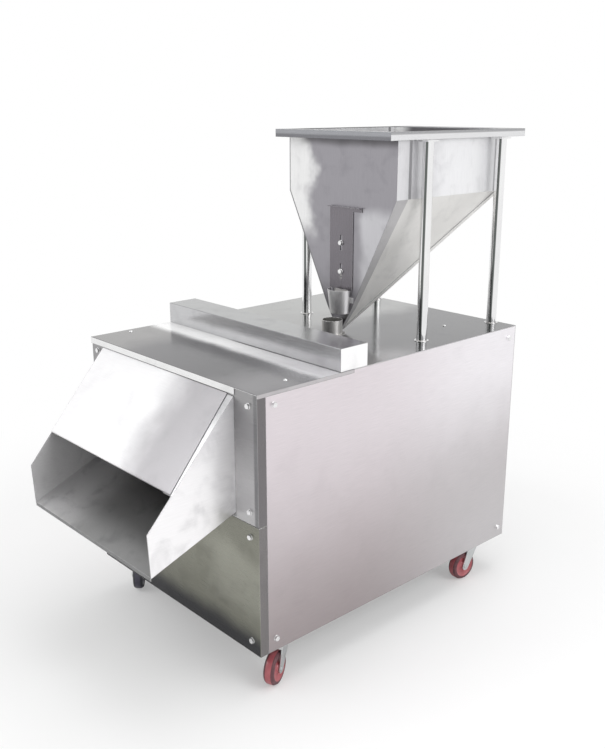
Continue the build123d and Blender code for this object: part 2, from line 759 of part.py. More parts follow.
# Cutter shaft with the hub that carries the disc
pulley_top = deck_height - pulley_top_gap
pulley_low = pulley_top - pulley_width
with BuildPart() as cutter_shaft:
    for z, radius, height in ((pulley_low, shaft_radius, disc_height - hub_height - pulley_low),
                              (disc_height - hub_height, hub_radius, hub_height),
                              (disc_height, spigot_radius, disc_thickness + nut_height)):
        with BuildSketch(Plane.XY.offset(z)):
            with Locations((cutter_x, cutter_y)):
                Circle(radius)
        extrude(amount=height)
save(cutter_shaft.part, "cutter_shaft")

# Cutter disc with a window in front of each knife
with BuildPart() as cutter_disc:
    with BuildSketch(Plane.XY.offset(disc_height)):
        with Locations((cutter_x, cutter_y)):
            Circle(disc_radius)
            Circle(spigot_radius, mode=Mode.SUBTRACT)
            with PolarLocations(knife_radius, knife_count):
                Rectangle(knife_length, knife_slot, mode=Mode.SUBTRACT)
    extrude(amount=disc_thickness)
save(cutter_disc.part, "cutter_disc")

# Knives lie on the disc, each ground to an edge over its window
with BuildPart() as knives:
    knife_z = disc_height + disc_thickness
    for k in range(knife_count):
        angle = 360.0 * k / knife_count
        along = (cos(radians(angle)), sin(radians(angle)), 0)
        start = Plane(origin=(cutter_x, cutter_y, knife_z), x_dir=(-along[1], along[0], 0),
                      z_dir=along)
        start = start.offset(knife_radius - knife_length / 2)
        with BuildSketch(start):
            with BuildLine():
                Polyline((-knife_slot / 4, 0), (knife_width, 0), (knife_width, knife_thickness),
                         (knife_slot / 4, knife_thickness), close=True)
            make_face()
        extrude(amount=knife_length)
save(knives.part, "knives")

with BuildPart() as disc_nut:
    with BuildSketch(Plane.XY.offset(disc_height + disc_thickness)):
        with Locations((cutter_x, cutter_y)):
            RegularPolygon(nut_flats / 2, 6, major_radius=False)
            Circle(spigot_radius, mode=Mode.SUBTRACT)
    extrude(amount=nut_height)
save(disc_nut.part, "disc_nut")

# Ejector under the disc sweeps the slices out of the drum
with BuildPart() as ejector:
    with BuildSketch(Plane.XY.offset(ejector_height)):
        with Locations((cutter_x, cutter_y)):
            Circle(2 * hub_radius)
            with PolarLocations(ejector_arm / 2, knife_count):
                SlotOverall(ejector_arm, hub_radius)
            Circle(shaft_radius, mode=Mode.SUBTRACT)
    extrude(amount=ejector_thickness)
save(ejector.part, "ejector")


# Grooved pulleys and their pair of belts
def pulley(centre_y, radius, bore):
    middle = pulley_low + pulley_width / 2
    with BuildPart() as wheel:
        with BuildSketch(Plane.XZ.offset(-centre_y)):
            with BuildLine():
                outline = [(cutter_x + bore, pulley_low), (cutter_x + radius, pulley_low)]
                for z in (middle - groove_pitch / 2, middle + groove_pitch / 2):
                    outline += [(cutter_x + radius, z - groove_top / 2),
                                (cutter_x + radius - groove_depth, z - groove_bottom / 2),
                                (cutter_x + radius - groove_depth, z + groove_bottom / 2),
                                (cutter_x + radius, z + groove_top / 2)]
                outline += [(cutter_x + radius, pulley_top), (cutter_x + bore, pulley_top)]
                Polyline(*outline, close=True)
            make_face()
        revolve(axis=Axis((cutter_x, centre_y, 0), (0, 0, 1)))
    return wheel.part


save(pulley(cutter_y, cutter_pulley_radius, shaft_radius), "cutter_pulley")
save(pulley(motor_y, motor_pulley_radius, motor_shaft_radius), "motor_pulley")

with BuildPart() as drive_belts:
    for z in (-groove_pitch / 2, groove_pitch / 2):
        low = pulley_low + pulley_width / 2 + z - belt_width / 2
        for outset, mode in ((belt_depth, Mode.ADD), (0, Mode.SUBTRACT)):
            with BuildSketch(Plane.XY.offset(low)):
                for y, radius in ((cutter_y, cutter_pulley_radius), (motor_y, motor_pulley_radius)):
                    with Locations((cutter_x, y)):
                        Circle(radius - groove_depth + belt_gap + outset)
                make_hull()
            extrude(amount=belt_width, mode=mode)
save(drive_belts.part, "drive_belts")

# Motor stands on the deck, its shaft pointing down
with BuildPart() as motor_body:
    rib_start = deck_top + motor_flange
    with BuildSketch(Plane.XY.offset(deck_top)):
        with Locations((cutter_x, motor_y)):
            Circle(motor_flange_radius)
    extrude(amount=motor_flange)
    with BuildSketch(Plane.XY.offset(rib_start)):
        with Locations((cutter_x, motor_y)):
            Circle(motor_radius)
            with PolarLocations(motor_radius, 16):
                Rectangle(2 * motor_rib, sheet)
    extrude(amount=motor_length - fan_cover_height)
    with BuildSketch(Plane.XY.offset(rib_start + motor_length - fan_cover_height)):
        with Locations((cutter_x, motor_y)):
            Circle(motor_radius + motor_rib)
    extrude(amount=fan_cover_height)
    with BuildSketch(Plane.XY.offset(rib_start + motor_length / 4)):
        with Locations((cutter_x + motor_radius + motor_rib, motor_y)):
            RectangleRounded(motor_radius, motor_radius, 4 * bend)
    extrude(amount=motor_radius)
    with BuildSketch(Plane.XY.offset(deck_top)):
        with Locations((cutter_x, motor_y)):
            Circle(motor_shaft_radius + running_gap)
    extrude(amount=motor_length / 2, mode=Mode.SUBTRACT)
save(motor_body.part, "motor_body")

with BuildPart() as motor_shaft:
    with BuildSketch(Plane.XY.offset(pulley_low)):
        with Locations((cutter_x, motor_y)):
            Circle(motor_shaft_radius)
    extrude(amount=deck_top + motor_length / 2 - sheet - pulley_low)
save(motor_shaft.part, "motor_shaft")

# Casters: plates bolted under the frame, swivelling forks, wheels
caster_places = {
    "front_right": (caster_x, depth(caster_front)),
    "rear_right": (caster_x, depth(caster_rear)),
    "front_left": (-caster_x, depth(caster_front)),
    "rear_left": (-caster_x, depth(caster_rear)),
}
race_low = caster_height - caster_plate - race_height
crown_top = race_low - race_gap
with BuildPart() as caster_plates:
    for x, y in caster_places.values():
        with BuildSketch(Plane.XY.offset(caster_height - caster_plate)):
            with Locations((x, y)):
                RectangleRounded(caster_plate_length, caster_plate_width, tube_corner)
        extrude(amount=caster_plate)
        with BuildSketch(Plane.XY.offset(race_low)):
            with Locations((x, y)):
                Circle(race_radius)
        extrude(amount=race_height)
        with BuildSketch(Plane.XY.offset(race_low)):
            with Locations((x, y)):
                Circle(kingpin_radius + running_gap)
        extrude(amount=race_height, mode=Mode.SUBTRACT)
save(caster_plates.part, "caster_plates")

fork_inner = wheel_width / 2 + fork_side_gap
for name, (x, y) in caster_places.items():
    turn = radians(caster_turns[name])
    axle_way = (cos(turn), sin(turn), 0)
    trail_way = (sin(turn), -cos(turn), 0)
    level = Plane(origin=(x, y, 0), x_dir=axle_way, z_dir=(0, 0, 1))
    upright = Plane(origin=(x, y, 0), x_dir=trail_way, z_dir=(-axle_way[0], -axle_way[1], 0))
    with BuildPart() as caster_fork:
        with BuildSketch(level.offset(crown_top - crown_height)):
            Circle(race_radius)
        extrude(amount=crown_height)
        with BuildSketch(level.offset(crown_top)):
            Circle(kingpin_radius)
        extrude(amount=race_gap + race_height - sheet)
        for inner in (fork_inner, -fork_inner - fork_wall):
            with BuildSketch(upright.offset(inner)):
                with Locations((trail, wheel_radius)):
                    Circle(2 * axle_radius)
                with Locations((0, crown_top - crown_height / 2)):
                    Rectangle(2 * race_radius * 0.75, crown_height)
                make_hull()
            extrude(amount=fork_wall)
        with BuildSketch(upright.offset(-fork_inner - fork_wall - sheet)):
            with Locations((trail, wheel_radius)):
                Circle(axle_radius)
        extrude(amount=2 * (fork_inner + fork_wall + sheet))
    save(caster_fork.part, f"caster_fork_{name}")
    with BuildPart() as caster_wheel:
        with BuildSketch(upright.offset(-wheel_width / 2)):
            with Locations((trail, wheel_radius)):
                Circle(wheel_radius)
        extrude(amount=wheel_width)
        chamfer(caster_wheel.edges().filter_by(GeomType.CIRCLE), 2 * sheet)
        with BuildSketch(upright.offset(-wheel_width / 2)):
            with Locations((trail, wheel_radius)):
                Circle(axle_radius + running_gap)
        extrude(amount=wheel_width, mode=Mode.SUBTRACT)
    save(caster_wheel.part, f"caster_wheel_{name}")
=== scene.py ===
import json
import math

import bmesh
import bpy
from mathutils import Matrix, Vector


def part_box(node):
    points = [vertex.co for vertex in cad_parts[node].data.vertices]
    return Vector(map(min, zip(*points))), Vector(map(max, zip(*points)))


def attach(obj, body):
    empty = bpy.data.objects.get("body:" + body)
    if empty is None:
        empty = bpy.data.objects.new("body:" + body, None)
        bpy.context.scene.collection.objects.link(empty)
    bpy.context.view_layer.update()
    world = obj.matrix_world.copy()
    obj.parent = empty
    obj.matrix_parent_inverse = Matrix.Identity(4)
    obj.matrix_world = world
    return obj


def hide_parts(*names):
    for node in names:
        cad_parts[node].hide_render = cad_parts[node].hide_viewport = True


# Nut slicer: stainless cabinet on casters, hooded chute in front, funnel hopper behind.
# Metres, Z up, the chute faces -Y, the origin lies on the floor under the middle of the machine.

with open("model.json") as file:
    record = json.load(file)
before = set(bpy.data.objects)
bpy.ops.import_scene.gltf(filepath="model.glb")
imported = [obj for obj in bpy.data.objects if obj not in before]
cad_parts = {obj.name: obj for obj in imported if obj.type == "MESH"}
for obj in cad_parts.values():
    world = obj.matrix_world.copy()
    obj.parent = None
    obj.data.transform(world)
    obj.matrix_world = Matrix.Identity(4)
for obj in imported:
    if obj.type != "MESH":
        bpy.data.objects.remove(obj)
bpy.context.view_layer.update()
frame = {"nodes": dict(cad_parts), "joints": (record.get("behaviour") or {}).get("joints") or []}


# Helpers for node trees
def fill(tree, socket, value):
    """Links another node's output to a socket, or sets the socket to a plain value."""
    if isinstance(value, bpy.types.NodeSocket):
        tree.links.new(value, socket)
    else:
        socket.default_value = value


def new_group(name, inputs, outputs):
    """Empty node group with named inputs (name, kind, value) and outputs (name, kind)."""
    tree = bpy.data.node_groups.new(name, "ShaderNodeTree")
    for label, kind, value in inputs:
        socket = tree.interface.new_socket(label, in_out="INPUT", socket_type=kind)
        if value is not None:
            socket.default_value = value
    for label, kind in outputs:
        tree.interface.new_socket(label, in_out="OUTPUT", socket_type=kind)
    return tree, tree.nodes.new("NodeGroupInput"), tree.nodes.new("NodeGroupOutput")


def math_node(tree, operation, a, b, clamp=False):
    node = tree.nodes.new("ShaderNodeMath")
    node.operation = operation
    node.use_clamp = clamp
    fill(tree, node.inputs[0], a)
    fill(tree, node.inputs[1], b)
    return node.outputs[0]


def vector_math(tree, operation, a, b=None):
    """Vector maths node, of which the outputs Vector and Value are handed back."""
    node = tree.nodes.new("ShaderNodeVectorMath")
    node.operation = operation
    fill(tree, node.inputs[0], a)
    if b is not None:
        fill(tree, node.inputs[1], b)
    return node.outputs


def noise(tree, place, scale, detail, roughness=0.5, distortion=0.0):
    node = tree.nodes.new("ShaderNodeTexNoise")
    node.inputs["Detail"].default_value = detail
    node.inputs["Roughness"].default_value = roughness
    node.inputs["Distortion"].default_value = distortion
    fill(tree, node.inputs["Vector"], place)
    fill(tree, node.inputs["Scale"], scale)
    return node.outputs["Fac"]


def remap(tree, value, low, high, to_low=0.0, to_high=1.0):
    """Value carried from one range to another by a smooth step."""
    node = tree.nodes.new("ShaderNodeMapRange")
    node.interpolation_type = "SMOOTHSTEP"
    for label, item in (("Value", value), ("From Min", low), ("From Max", high),
                        ("To Min", to_low), ("To Max", to_high)):
        fill(tree, node.inputs[label], item)
    return node.outputs["Result"]


# The mix node's colour sockets have no names of their own, only these numbers.
first_colour, second_colour, mixed_colour = 6, 7, 2


def mix_colour(tree, factor, a, b, blend="MIX"):
    """The second colour laid over the first one."""
    node = tree.nodes.new("ShaderNodeMix")
    node.data_type = "RGBA"
    node.blend_type = blend
    fill(tree, node.inputs["Factor"], factor)
    for number, colour in ((first_colour, a), (second_colour, b)):
        fill(tree, node.inputs[number], (*colour, 1.0) if isinstance(colour, tuple) else colour)
    return node.outputs[mixed_colour]


def bump(tree, height, strength, depth, normal):
    node = tree.nodes.new("ShaderNodeBump")
    node.inputs["Strength"].default_value = strength
    node.inputs["Distance"].default_value = depth
    tree.links.new(height, node.inputs["Height"])
    tree.links.new(normal, node.inputs["Normal"])
    return node.outputs["Normal"]


# Node groups shared by the finishes
def brushed_grain_group():
    """Fine parallel scratches left by the finishing belt, with a few deeper ones."""
    tree, given, out = new_group(
        "brushed_grain",
        [("Vector", "NodeSocketVector", None), ("Stretch", "NodeSocketVector", (1.0, 1.0, 1.0)),
         ("Fineness", "NodeSocketFloat", 900.0), ("Scratches", "NodeSocketFloat", 0.35)],
        [("Grain", "NodeSocketFloat"), ("Height", "NodeSocketFloat")])
    coarse_share = 0.17
    stretched = vector_math(tree, "MULTIPLY", given.outputs["Vector"], given.outputs["Stretch"])["Vector"]
    fine = noise(tree, stretched, given.outputs["Fineness"], detail=3.0, roughness=0.65)
    coarse_scale = math_node(tree, "MULTIPLY", given.outputs["Fineness"], coarse_share)
    coarse = noise(tree, stretched, coarse_scale, detail=2.0)
    deep = math_node(tree, "MULTIPLY", remap(tree, coarse, 0.60, 0.72), given.outputs["Scratches"])
    tree.links.new(remap(tree, fine, 0.32, 0.68), out.inputs["Grain"])
    tree.links.new(math_node(tree, "SUBTRACT", fine, deep), out.inputs["Height"])
    return tree


def cloudy_haze_group():
    """Broad soft patches where sheet has been wiped or handled, and small stained smears."""
    tree, given, out = new_group(
        "cloudy_haze",
        [("Vector", "NodeSocketVector", None), ("Size", "NodeSocketFloat", 3.0),
         ("Contrast", "NodeSocketFloat", 0.5)],
        [("Haze", "NodeSocketFloat"), ("Smears", "NodeSocketFloat")])
    smears_per_patch = 5.0
    cut_off = 0.4
    place, size = given.outputs["Vector"], given.outputs["Size"]
    broad = noise(tree, place, size, detail=4.0, roughness=0.45, distortion=0.4)
    smear_size = math_node(tree, "MULTIPLY", size, smears_per_patch)
    smear = noise(tree, place, smear_size, detail=5.0, distortion=0.45)
    low = math_node(tree, "MULTIPLY", given.outputs["Contrast"], cut_off)
    high = math_node(tree, "SUBTRACT", 1.0, low)
    tree.links.new(remap(tree, broad, low, high), out.inputs["Haze"])
    tree.links.new(remap(tree, smear, 0.48, 0.80), out.inputs["Smears"])
    return tree


def edge_wear_and_shade_group():
    """Rounded-off normal for folded and cut edges, and a mask of the edge itself, which the finishes tint
    lighter as wear, or dark as a painted shade line.
    """
    tree, given, out = new_group(
        "edge_wear_and_shade", [("Radius", "NodeSocketFloat", 0.0012)],
        [("Mask", "NodeSocketFloat"), ("Normal", "NodeSocketVector")])
    bevel = tree.nodes.new("ShaderNodeBevel")
    bevel.samples = 4
    tree.links.new(given.outputs["Radius"], bevel.inputs["Radius"])
    plain = tree.nodes.new("ShaderNodeNewGeometry")
    likeness = vector_math(tree, "DOT_PRODUCT", bevel.outputs["Normal"], plain.outputs["Normal"])["Value"]
    tree.links.new(remap(tree, likeness, 0.995, 0.80), out.inputs["Mask"])
    tree.links.new(bevel.outputs["Normal"], out.inputs["Normal"])
    return tree


def facing_mask_group():
    """Mask of the surfaces that look one way, in the piece's own directions."""
    tree, given, out = new_group(
        "facing_mask",
        [("Normal", "NodeSocketVector", None), ("Way", "NodeSocketVector", (0.0, 0.0, 1.0)),
         ("Low", "NodeSocketFloat", 0.92), ("High", "NodeSocketFloat", 0.98)],
        [("Mask", "NodeSocketFloat")])
    likeness = vector_math(tree, "DOT_PRODUCT", given.outputs["Normal"], given.outputs["Way"])["Value"]
    mask = remap(tree, likeness, given.outputs["Low"], given.outputs["High"])
    tree.links.new(mask, out.inputs["Mask"])
    return tree


def place_mask_group():
    """Mask that grows along one way, its edge broken up by soft noise."""
    tree, given, out = new_group(
        "place_mask",
        [("Vector", "NodeSocketVector", None), ("Way", "NodeSocketVector", (0.0, 0.0, 1.0)),
         ("Start", "NodeSocketFloat", 0.0), ("End", "NodeSocketFloat", 1.0),
         ("Ragged", "NodeSocketFloat", 0.0)],
        [("Mask", "NodeSocketFloat")])
    noise_scale, noise_reach = 9.0, 4.0
    distance = vector_math(tree, "DOT_PRODUCT", given.outputs["Vector"], given.outputs["Way"])["Value"]
    shift = noise(tree, given.outputs["Vector"], noise_scale, detail=3.0)
    shift = math_node(tree, "SUBTRACT", shift, 0.5)
    shift = math_node(tree, "MULTIPLY", shift, given.outputs["Ragged"])
    shift = math_node(tree, "MULTIPLY", shift, noise_reach)
    along = math_node(tree, "ADD", distance, shift)
    tree.links.new(remap(tree, along, given.outputs["Start"], given.outputs["End"]), out.inputs["Mask"])
    return tree


brushed_grain = brushed_grain_group()
cloudy_haze = cloudy_haze_group()
edge_wear_and_shade = edge_wear_and_shade_group()
facing_mask = facing_mask_group()
place_mask = place_mask_group()


def use_group(tree, group, **values):
    """Puts a group into a tree with these inputs and hands back its outputs."""
    node = tree.nodes.new("ShaderNodeGroup")
    node.node_tree = group
    for label, value in values.items():
        fill(tree, node.inputs[label], value)
    return node.outputs


def new_finish(name):
    finish = bpy.data.materials.new(name)
    finish.use_nodes = True
    tree = finish.node_tree
    shader = tree.nodes["Principled BSDF"]
    surface = tree.nodes.new("ShaderNodeTexCoord").outputs
    return finish, tree, shader, surface


# Painted light and shade: colours laid over part of a finish that stand in for highlights, reflections and
# shadows
def run(way, start, end, ragged=0.02):
    """A stretch along an axis, over which a patch of painted light and shade grows from nothing to full.

    Start and end are coordinates on that axis. Ragged says how far noise breaks the stretch up.
    """
    sign = sum(way)
    return way, sign * start, sign * end, ragged


def painted_light_patch(colour, facing=None, spread=(0.92, 0.98), runs=(), matt=0.0):
    """A patch of painted light and shade: a colour standing in for highlights, reflections and shadows on
    the surfaces that face one way, limited by runs.

    Matt says how far the surface there scatters light instead of mirroring it.
    """
    return colour, facing, spread, runs, matt


def with_painted_light(tree, colour, surface, painted_light_patches):
    """The colour with each patch of painted light and shade laid over where its masks let it, and how far
    it mirrors there.

    The second is None where no tone is matt, since the whole surface then mirrors as metal does.
    """
    metal = None
    for tint, facing, spread, runs, matt in painted_light_patches:
        mask = None
        if facing:
            mask = use_group(tree, facing_mask, Normal=surface["Normal"], Way=facing, Low=spread[0],
                             High=spread[1])["Mask"]
        for way, start, end, ragged in runs:
            stretch = use_group(tree, place_mask, Vector=surface["Object"], Way=way, Start=start, End=end,
                                Ragged=ragged)["Mask"]
            mask = stretch if mask is None else math_node(tree, "MULTIPLY", mask, stretch)
        colour = mix_colour(tree, mask, colour, tint)
        if matt == 0.0 and metal is None:
            continue
        blend = tree.nodes.new("ShaderNodeMix")
        fill(tree, blend.inputs["Factor"], mask)
        fill(tree, blend.inputs["A"], 1.0 if metal is None else metal)
        fill(tree, blend.inputs["B"], 1.0 - matt)
        metal = blend.outputs["Result"]
    return colour, metal


def steel_finish(name, light, dark, roughness, stretch, painted_light_patches=(), haze=3.0, grain=0.08, edge=0.0012,
                 edge_tint=(0.86, 0.86, 0.86), stain=0.06):
    """Sheet or bar of stainless steel: grain along one way, soft haze, patches of painted light and shade,
    and tinted edges, lighter as wear, dark as a painted shade line when the edge tint is shade_line.

    Stain says how far the smears darken the colour.
    """
    stain_tint = (0.50, 0.50, 0.51)
    grain_roughness, least_roughness, smear_roughness = 0.09, roughness - 0.05, 0.04
    groove_strength, groove_depth = 0.25, 0.00004
    finish, tree, shader, surface = new_finish(name)
    lines = use_group(tree, brushed_grain, Vector=surface["Object"], Stretch=stretch, Fineness=900.0)
    cloud = use_group(tree, cloudy_haze, Vector=surface["Object"], Size=haze)
    edge_band = use_group(tree, edge_wear_and_shade, Radius=edge)
    colour = mix_colour(tree, cloud["Haze"], dark, light)
    colour, metal = with_painted_light(tree, colour, surface, painted_light_patches)
    stained = math_node(tree, "MULTIPLY", cloud["Smears"], stain)
    colour = mix_colour(tree, stained, colour, stain_tint, "MULTIPLY")
    colour = mix_colour(tree, grain, colour, lines["Grain"], "MULTIPLY")
    colour = mix_colour(tree, edge_band["Mask"], colour, edge_tint)
    tree.links.new(colour, shader.inputs["Base Color"])
    shader.inputs["Metallic"].default_value = 1.0
    if metal is not None:
        tree.links.new(metal, shader.inputs["Metallic"])
    rough = math_node(tree, "MULTIPLY", lines["Grain"], grain_roughness)
    rough = math_node(tree, "ADD", rough, least_roughness)
    smears = math_node(tree, "MULTIPLY", cloud["Smears"], smear_roughness)
    tree.links.new(math_node(tree, "ADD", rough, smears, clamp=True), shader.inputs["Roughness"])
    tree.links.new(bump(tree, lines["Height"], groove_strength, groove_depth, edge_band["Normal"]),
                   shader.inputs["Normal"])
    return finish


def smooth_finish(name, light, dark, roughness, haze=30.0, metallic=0.0, speckle=0.25, edge_tint=None,
                  coat=0.0):
    """Painted, plated or moulded surface: slight mottling, fine pebbled skin, softened edges."""
    edge, pebble_depth, smear_roughness = 0.001, 0.0001, 0.15
    finish, tree, shader, surface = new_finish(name)
    cloud = use_group(tree, cloudy_haze, Vector=surface["Object"], Size=haze)
    skin = use_group(tree, brushed_grain, Vector=surface["Object"], Stretch=(1.0, 1.0, 1.0),
                     Fineness=1400.0)
    edge_band = use_group(tree, edge_wear_and_shade, Radius=edge)
    colour = mix_colour(tree, cloud["Haze"], dark, light)
    if edge_tint:
        colour = mix_colour(tree, edge_band["Mask"], colour, edge_tint)
    tree.links.new(colour, shader.inputs["Base Color"])
    shader.inputs["Metallic"].default_value = metallic
    shader.inputs["Coat Weight"].default_value = coat
    rough = math_node(tree, "MULTIPLY", cloud["Smears"], smear_roughness)
    tree.links.new(math_node(tree, "ADD", rough, roughness), shader.inputs["Roughness"])
    tree.links.new(bump(tree, skin["Height"], speckle, pebble_depth, edge_band["Normal"]),
                   shader.inputs["Normal"])
    return finish


# The stainless finishes below are one steel; their base colours differ from piece to piece as painted light
# and shade, lighter on pieces in light, darker on pieces in shade, such as the front cover and the front
# panels.
# Grain runs along X, Y or Z: the pattern is drawn out along that way.
along_x = (0.02, 1.0, 1.0)
along_y = (1.0, 0.02, 1.0)
along_z = (1.0, 1.0, 0.02)

# The ways surfaces face and tones run
left, right = (-1.0, 0.0, 0.0), (1.0, 0.0, 0.0)
forward, backward = (0.0, -1.0, 0.0), (0.0, 1.0, 0.0)
down, up = (0.0, 0.0, -1.0), (0.0, 0.0, 1.0)
funnel_side = (0.891, 0.0, -0.454)

# Painted shade lines across the funnel's slopes, given as way, start and end along it, and ragged
funnel_left_shade_line = ((-0.8888, 0.0, -0.4583), -0.4175, -0.4163, 0.0)
funnel_front_shade_line = ((0.0, -1.0, 0.0875), -0.082, -0.079, 0.0)

# The painted reflection strip in front of the bar, the painted shadow line along its foot, and the side
# panel's rear part, which is painted lighter
painted_reflection_strip = run(backward, -0.245, -0.205, 0.006)
bar_foot_shadow = run(backward, -0.1640, -0.1615, 0.0)
side_rear = run(backward, -0.15, 0.50)

# Surfaces that look about upward, such as the cheeks' slanted flanges
about_upward = (0.55, 0.62)

# Narrow painted reflection stripes down the round posts
narrow = (0.955, 0.985)

# Painted shade: the dark line drawn along thin sheet edges, and in some finishes along slopes, flanges and
# corners
shade_line = (0.26, 0.26, 0.27)

# Painted light and shade on the side panels: the rear part painted lighter as a reflected highlight, and
# the panel painted darker towards the bottom, where it mirrors the shaded floor.
side_steel = steel_finish(
    "side_panel_steel", (0.80, 0.745, 0.775), (0.76, 0.70, 0.73), 0.36, along_y, haze=2.2,
    edge=0.0016, edge_tint=shade_line, painted_light_patches=[
        painted_light_patch((0.93, 0.905, 0.935), runs=[side_rear]),
        painted_light_patch((0.42, 0.375, 0.38), runs=[run(down, 0.74, 0.12)]),
        painted_light_patch((0.60, 0.58, 0.59), runs=[run(down, 0.74, 0.14), side_rear])])
# Painted light and shade on the upper front panel: its front painted lighter towards the bottom, a painted
# dark shadow stripe near its right corner, and its right-facing return flange painted dark.
upper_front_steel = steel_finish(
    "upper_front_steel", (0.38, 0.375, 0.38), (0.33, 0.325, 0.33), 0.32, along_x, painted_light_patches=[
        painted_light_patch((0.50, 0.495, 0.50), forward, runs=[run(down, 0.70, 0.58)]),
        painted_light_patch((0.24, 0.24, 0.245), forward, runs=[run(right, 0.352, 0.360, 0.0)]),
        painted_light_patch((0.20, 0.19, 0.195), right)])
# Painted light and shade on the lower front panel: a lighter patch towards its right, painted shade along
# its bottom, and its right-facing return flange painted dark.
lower_front_steel = steel_finish(
    "lower_front_steel", (0.28, 0.28, 0.235), (0.21, 0.21, 0.18), 0.30, along_x, stain=0.35, painted_light_patches=[
        painted_light_patch((0.36, 0.36, 0.31), runs=[run(right, 0.10, 0.24, 0.03), run(up, 0.18, 0.26),
                                       run(down, 0.42, 0.34)]),
        painted_light_patch((0.065, 0.065, 0.07), forward, runs=[run(down, 0.20, 0.135, 0.008)]),
        painted_light_patch((0.22, 0.21, 0.21), right)])
rear_steel = steel_finish("rear_panel_steel", (0.70, 0.69, 0.69), (0.62, 0.61, 0.615), 0.36, along_x)
# Painted light and shade on the front top cover: lighter patches at both ends of the top, a painted
# reflection of the bar as a bright strip in front of it, fading towards the right, a painted shadow line
# along the bar's foot on its right half, and its front and right bands painted light.
front_cover_steel = steel_finish(
    "front_cover_steel", (0.20, 0.195, 0.205), (0.145, 0.145, 0.15), 0.16, along_x, haze=2.5,
    edge=0.0016, edge_tint=shade_line, stain=0.25, painted_light_patches=[
        painted_light_patch((0.34, 0.335, 0.33), up, runs=[run(left, -0.10, -0.30, 0.03)]),
        painted_light_patch((0.31, 0.305, 0.315), up, runs=[run(right, 0.14, 0.32, 0.03)]),
        painted_light_patch((0.97, 0.97, 0.97), up, runs=[painted_reflection_strip], matt=0.75),
        painted_light_patch((0.56, 0.55, 0.57), up, runs=[painted_reflection_strip, run(right, -0.10, 0.30)], matt=0.6),
        painted_light_patch((0.10, 0.10, 0.105), up, runs=[bar_foot_shadow, run(right, -0.12, 0.02)], matt=0.6),
        painted_light_patch((0.88, 0.88, 0.88), forward), painted_light_patch((0.58, 0.56, 0.57), right)])
# Painted light and shade on the rear top cover: the right part of its top painted darker, lighter again at
# the front right corner, and its right-facing edge painted light.
rear_cover_steel = steel_finish(
    "rear_cover_steel", (0.47, 0.475, 0.465), (0.40, 0.40, 0.395), 0.16, along_x, haze=2.5,
    edge=0.0016, edge_tint=shade_line, painted_light_patches=[
        painted_light_patch((0.20, 0.20, 0.205), up, runs=[run(right, -0.08, 0.06, 0.03)]),
        painted_light_patch((0.40, 0.39, 0.40), up, runs=[run(right, 0.24, 0.36), run(forward, 0.22, 0.06)]),
        painted_light_patch((0.72, 0.71, 0.72), right)])
# Painted light on the bar cover: its front and top painted lighter than its base colour, and its right end
# face painted near white and mostly matt, as a lit face.
bar_steel = steel_finish(
    "bar_steel", (0.39, 0.39, 0.40), (0.34, 0.34, 0.35), 0.20, along_x, edge=0.0016,
    edge_tint=shade_line, stain=0.30, painted_light_patches=[
        painted_light_patch((0.58, 0.58, 0.59), forward),
        painted_light_patch((0.47, 0.475, 0.475), up), painted_light_patch((0.97, 0.965, 0.97), right, matt=0.85)])
# Painted light and shade on the hood: a broad painted highlight, mostly matt, over its left part, and its
# right part painted darker.
hood_steel = steel_finish(
    "hood_steel", (0.90, 0.895, 0.905), (0.86, 0.86, 0.87), 0.36, along_x, haze=2.0, grain=0.04,
    edge=0.0022, edge_tint=shade_line, stain=0.22, painted_light_patches=[
        painted_light_patch((0.96, 0.955, 0.965), runs=[run(left, 0.10, -0.12)], matt=0.7),
        painted_light_patch((0.44, 0.43, 0.445), runs=[run(right, 0.00, 0.16, 0.025)])])
# Painted light and shade on the right cheek: its outer face painted near white as a lit face, darker
# towards the top, and its slanted flanges painted light, darker near their upper end.
right_cheek_steel = steel_finish(
    "right_cheek_steel", (0.46, 0.455, 0.46), (0.38, 0.375, 0.38), 0.34, along_y, edge=0.0022,
    edge_tint=shade_line, stain=0.42, grain=0.05, painted_light_patches=[
        painted_light_patch((0.97, 0.96, 0.97), right, matt=0.15),
        painted_light_patch((0.82, 0.81, 0.83), right, runs=[run(up, 0.58, 0.74, 0.03)], matt=0.7),
        painted_light_patch((0.86, 0.86, 0.865), up, about_upward),
        painted_light_patch((0.50, 0.50, 0.51), up, about_upward, runs=[run(up, 0.68, 0.75)])])
# Painted light on the left cheek: both its faces painted lighter than its base colour, the inner one mostly
# matt.
left_cheek_steel = steel_finish(
    "left_cheek_steel", (0.46, 0.455, 0.46), (0.38, 0.375, 0.38), 0.34, along_y, edge=0.0022,
    edge_tint=shade_line, stain=0.50, painted_light_patches=[
        painted_light_patch((0.66, 0.655, 0.66), right, matt=0.85),
        painted_light_patch((0.68, 0.675, 0.68), left)])
# Painted light and shade in the chute: the floor painted lighter at its left and left dark elsewhere as
# shade under the hood, and the surfaces that face forward painted darker.
chute_floor_steel = steel_finish(
    "chute_floor_steel", (0.50, 0.50, 0.50), (0.36, 0.36, 0.36), 0.36, along_y, stain=0.60, painted_light_patches=[
        painted_light_patch((0.86, 0.855, 0.86), runs=[run(left, -0.02, -0.22, 0.03)]),
        painted_light_patch((0.24, 0.24, 0.24), forward, (0.55, 0.75))])
slide_steel = steel_finish("slide_steel", (0.60, 0.60, 0.59), (0.50, 0.50, 0.49), 0.34, along_y)
